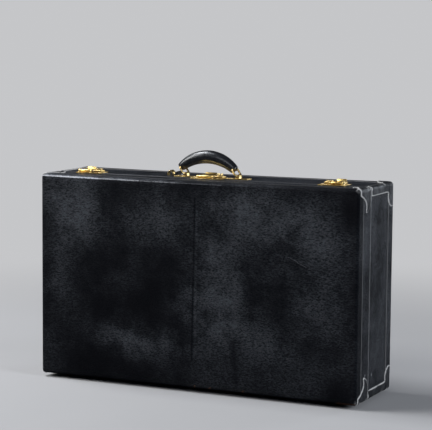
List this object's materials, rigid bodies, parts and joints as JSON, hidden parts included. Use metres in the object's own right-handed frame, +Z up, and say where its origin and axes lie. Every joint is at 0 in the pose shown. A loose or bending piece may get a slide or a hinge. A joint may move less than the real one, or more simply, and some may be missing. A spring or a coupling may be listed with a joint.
{
  "type": "leather suitcase",
  "caption": "Hard leather case standing on its hinged side, with corner caps, a rimmed lid, latches with turning hasps and sliding catches, a centre lock and an arched handle on rings.",
  "frame": {"origin": "on the floor below the middle of the case, which stands on its four studs", "axes": "+X along the length, to the right for someone who looks at the lid; +Y from the lid to the base's back panel; +Z up, to the handle"},
  "size_m": [0.6856, 0.192, 0.4699],
  "materials": {
    "grained_leather": "near-black grained leather, satin",
    "worn_leather": "black leather, worn matt at its edges",
    "smooth_leather": "black leather, polished by handling",
    "fibre_board": "pressed fibre board",
    "lining_cloth": "woven cloth glued to the board",
    "brass": "polished, slightly tarnished",
    "steel": "plain steel"
  },
  "bodies": {
    "base": {"base_panel_leather": "grained_leather", "base_band_leather": "grained_leather", "base_board": "fibre_board", "base_lining": "lining_cloth", "base_corner_upper_left": "worn_leather", "base_corner_upper_right": "worn_leather", "base_corner_lower_left": "worn_leather", "base_corner_lower_right": "worn_leather", "base_rim_frame": "smooth_leather", "foot_base_left": "brass", "handle_mount_left": "brass", "foot_base_right": "brass", "handle_mount_right": "brass", "latch_left_plate": "brass", "latch_left_case": "brass", "latch_right_plate": "brass", "latch_right_case": "brass", "lock_plate": "brass", "lock_case": "brass", "lock_key_barrel": "brass", "hinge_left_base_leaf": "brass", "hinge_left_pin": "steel", "hinge_centre_base_leaf": "brass", "hinge_centre_pin": "steel", "hinge_right_base_leaf": "brass", "hinge_right_pin": "steel", "side_loop_strap": "smooth_leather", "side_loop_brass": "brass"},
    "lid": {"lid_panel_leather": "grained_leather", "lid_band_leather": "grained_leather", "lid_board": "fibre_board", "lid_lining": "lining_cloth", "lid_corner_upper_left": "worn_leather", "lid_corner_upper_right": "worn_leather", "lid_corner_lower_left": "worn_leather", "lid_corner_lower_right": "worn_leather", "foot_lid_left": "brass", "foot_lid_right": "brass", "latch_left_leaf": "brass", "latch_left_pin": "steel", "latch_right_leaf": "brass", "latch_right_pin": "steel", "lock_leaf": "brass", "lock_pin": "steel", "hinge_left_lid_leaf": "brass", "hinge_centre_lid_leaf": "brass", "hinge_right_lid_leaf": "brass"},
    "hasp_left": {"latch_left_hasp": "brass"},
    "hasp_right": {"latch_right_hasp": "brass"},
    "lock_hasp": {"lock_hasp": "brass"},
    "slide_left": {"latch_left_slide": "brass"},
    "slide_right": {"latch_right_slide": "brass"},
    "lock_slide": {"lock_slide": "brass"},
    "ring_left": {"handle_ring_left": "brass"},
    "ring_right": {"handle_ring_right": "brass"},
    "grip": {"handle_core": "brass", "handle_grip": "smooth_leather"}
  },
  "joints": [
    {"name": "lid_hinge", "type": "hinge", "parent": "base", "child": "lid", "pos_m": [0, -0.03, 0.0061], "axis": [1, 0, 0], "range_deg": [0, 100]},
    {"name": "hasp_left_hinge", "type": "hinge", "parent": "lid", "child": "hasp_left", "pos_m": [-0.273, -0.0348, 0.4201], "axis": [1, 0, 0], "range_deg": [0, 120]},
    {"name": "hasp_right_hinge", "type": "hinge", "parent": "lid", "child": "hasp_right", "pos_m": [0.273, -0.0348, 0.4201], "axis": [1, 0, 0], "range_deg": [0, 120]},
    {"name": "lock_hasp_hinge", "type": "hinge", "parent": "lid", "child": "lock_hasp", "pos_m": [-0.003, -0.0348, 0.4201], "axis": [1, 0, 0], "range_deg": [0, 120]},
    {"name": "slide_left_travel", "type": "slide", "parent": "base", "child": "slide_left", "axis": [1, 0, 0], "range_m": [0, 0.005], "stiffness_N_per_m": 300, "springref_m": -0.003},
    {"name": "slide_right_travel", "type": "slide", "parent": "base", "child": "slide_right", "axis": [-1, 0, 0], "range_m": [0, 0.005], "stiffness_N_per_m": 300, "springref_m": -0.003},
    {"name": "lock_slide_travel", "type": "slide", "parent": "base", "child": "lock_slide", "axis": [1, 0, 0], "range_m": [0, 0.005], "stiffness_N_per_m": 300, "springref_m": -0.003},
    {"name": "ring_left_swing", "type": "hinge", "parent": "base", "child": "ring_left", "pos_m": [-0.057, -0.01, 0.4212], "axis": [0, 1, 0], "range_deg": [-35, 90]},
    {"name": "ring_right_swing", "type": "hinge", "parent": "base", "child": "ring_right", "pos_m": [0.057, -0.01, 0.4212], "axis": [0, 1, 0], "range_deg": [-35, 90]},
    {"name": "grip_pivot", "type": "hinge", "parent": "ring_left", "child": "grip", "pos_m": [-0.06599, -0.01, 0.43504], "axis": [0, 1, 0], "range_deg": [-90, 35]}
  ],
  "couplings": [
    {"joint": "grip_pivot", "follows": "ring_left_swing", "ratio": -1},
    {"joint": "ring_right_swing", "follows": "ring_left_swing", "ratio": 1}
  ]
}
